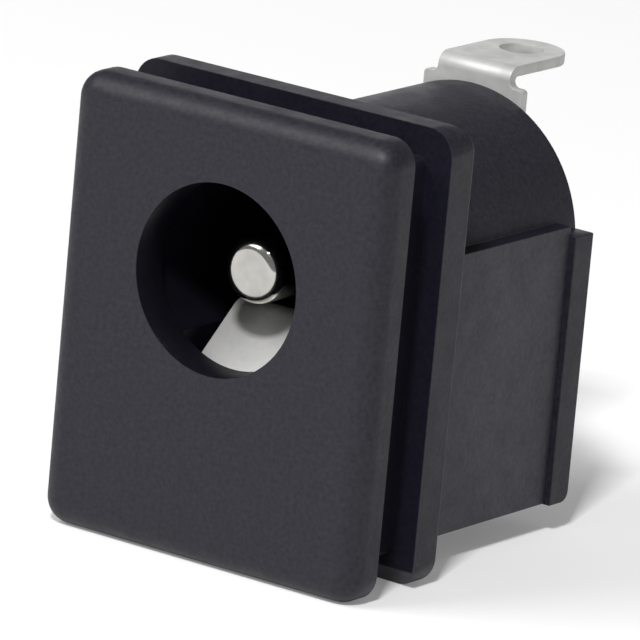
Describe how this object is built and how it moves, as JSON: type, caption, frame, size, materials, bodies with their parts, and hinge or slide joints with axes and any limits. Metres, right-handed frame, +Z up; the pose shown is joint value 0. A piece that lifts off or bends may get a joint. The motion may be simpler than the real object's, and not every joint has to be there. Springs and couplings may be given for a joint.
{
  "type": "dc barrel jack",
  "caption": "Black slotted panel jack for a round power plug: plate with a bore and centre pin, half-round barrel on a box, bent solder lug on top",
  "frame": {"origin": "on the axis of the bore, in the plane of the front plate's face", "axes": "X to the right seen from the front, Y from the front face to the back, Z up towards the bent solder lug"},
  "size_m": [0.012, 0.0169, 0.0144],
  "materials": {
    "moulding": "fine matt grain",
    "cover": "fine matt grain",
    "pin_plating": "nickel plated, polished",
    "lug_plating": "tin plated, satin",
    "spring_plating": "tin plated, satin",
    "switch_plating": "tin plated, satin"
  },
  "bodies": {
    "root": {"housing": "moulding", "rear_cover": "cover", "centre_pin": "pin_plating", "pin_terminal": "lug_plating", "sleeve_contact": "spring_plating", "switch_contact": "switch_plating"}
  },
  "joints": []
}
